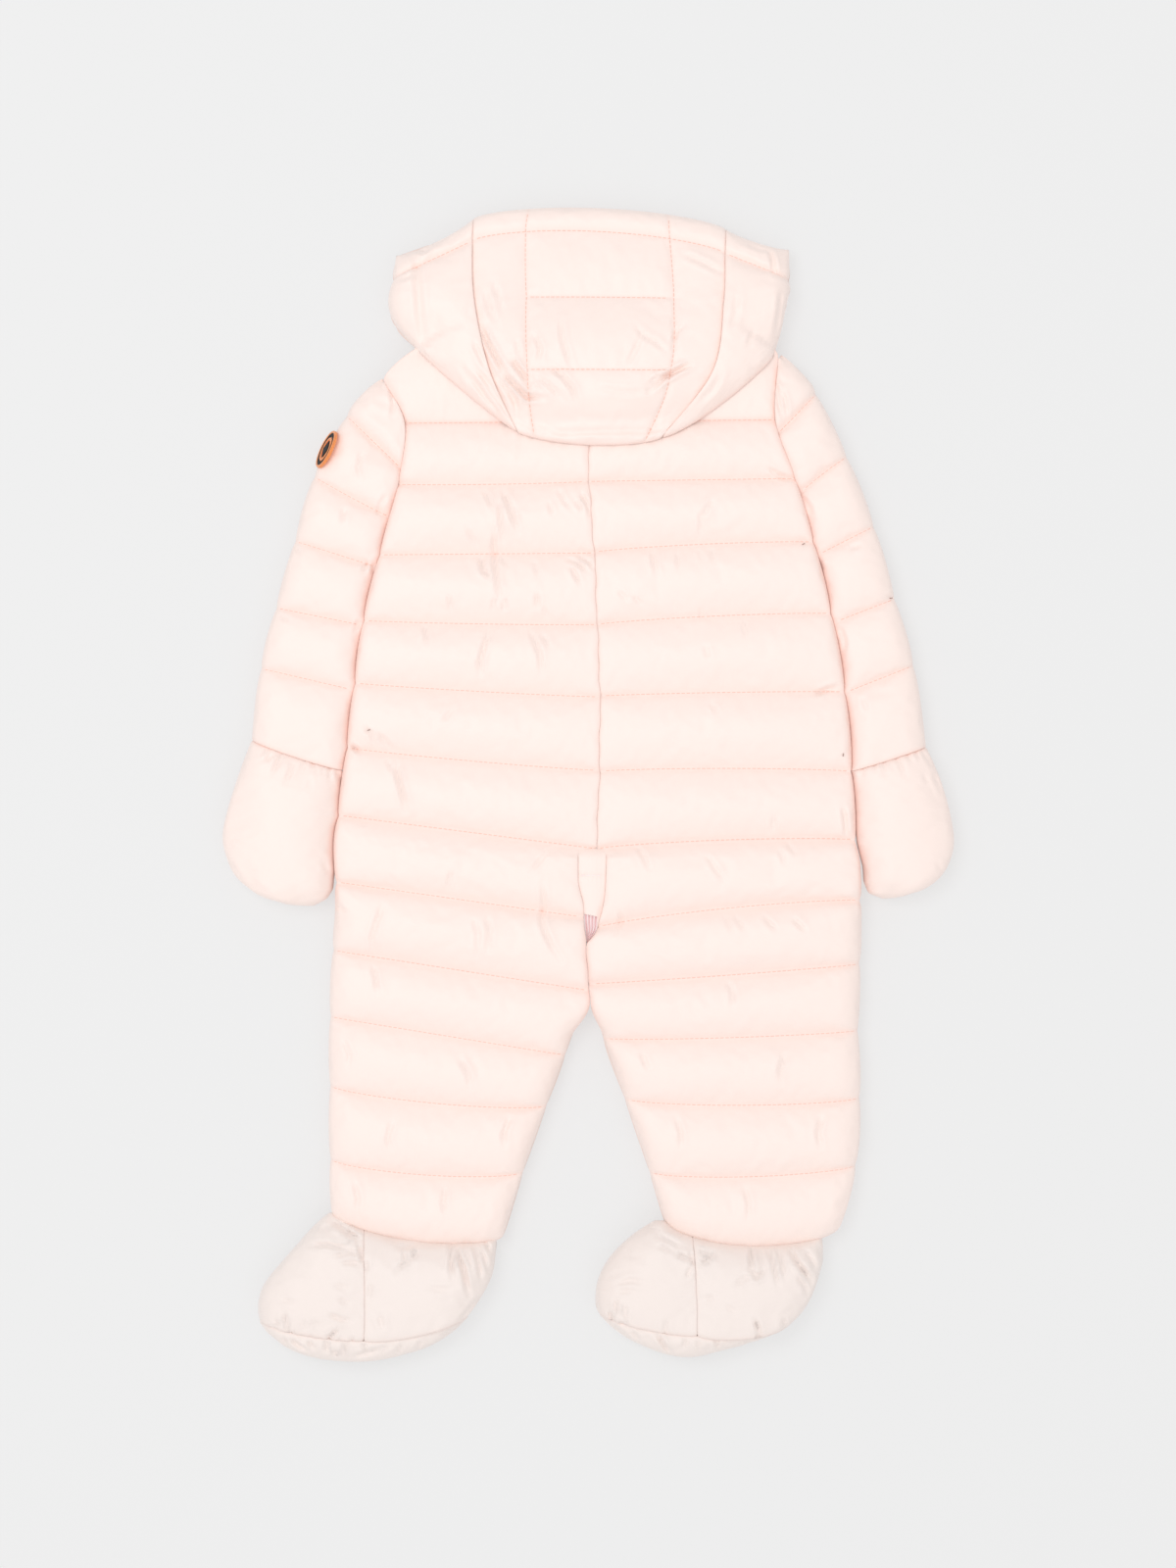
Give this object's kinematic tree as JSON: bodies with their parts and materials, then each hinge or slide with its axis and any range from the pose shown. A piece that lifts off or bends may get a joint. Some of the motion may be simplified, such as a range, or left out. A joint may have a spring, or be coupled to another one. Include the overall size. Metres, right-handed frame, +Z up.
{
  "type": "baby puffer snowsuit with hood, mittens and booties, laid flat on its front",
  "caption": "All-in-one quilted baby snowsuit with hood, closed mittens and padded booties, laid flat on its front with its back showing.",
  "frame": {"origin": "on the surface the suit lies on, under the middle of its bounding box", "axes": "+Y from the feet to the hood, +Z up out of the garment's back, +X to the right as seen from above, which is the wearer's right"},
  "size_m": [0.5058, 0.8032, 0.0609],
  "materials": {
    "quilted_nylon": "satin downproof nylon, very pale pink, quilted over loose fill",
    "bootie_nylon": "the same satin nylon, softly padded",
    "zip_tape": "pale pink nylon coil and tape",
    "zip_metal": "small plated slider",
    "badge_orange": "orange embroidered badge, plain",
    "badge_black": "black embroidered ring"
  },
  "bodies": {
    "root": {"back_left": "quilted_nylon", "back_right": "quilted_nylon", "badge_band": "badge_black", "badge_disc": "badge_orange", "bootie_left_inner": "bootie_nylon", "bootie_left_outer": "bootie_nylon", "bootie_left_sole": "bootie_nylon", "bootie_left_vamp": "bootie_nylon", "bootie_right_inner": "bootie_nylon", "bootie_right_outer": "bootie_nylon", "bootie_right_sole": "bootie_nylon", "bootie_right_vamp": "bootie_nylon", "crotch_gusset": "bootie_nylon", "front_left": "quilted_nylon", "front_right": "quilted_nylon", "front_zip": "zip_tape", "hood_centre": "quilted_nylon", "hood_left": "quilted_nylon", "hood_left_under": "quilted_nylon", "hood_right": "quilted_nylon", "hood_right_under": "quilted_nylon", "mitten_left_palm": "quilted_nylon", "mitten_left_upper": "quilted_nylon", "mitten_right_palm": "quilted_nylon", "mitten_right_upper": "quilted_nylon", "sleeve_left_under": "quilted_nylon", "sleeve_left_upper": "quilted_nylon", "sleeve_right_under": "quilted_nylon", "sleeve_right_upper": "quilted_nylon", "zip_slider": "zip_metal"}
  },
  "joints": []
}
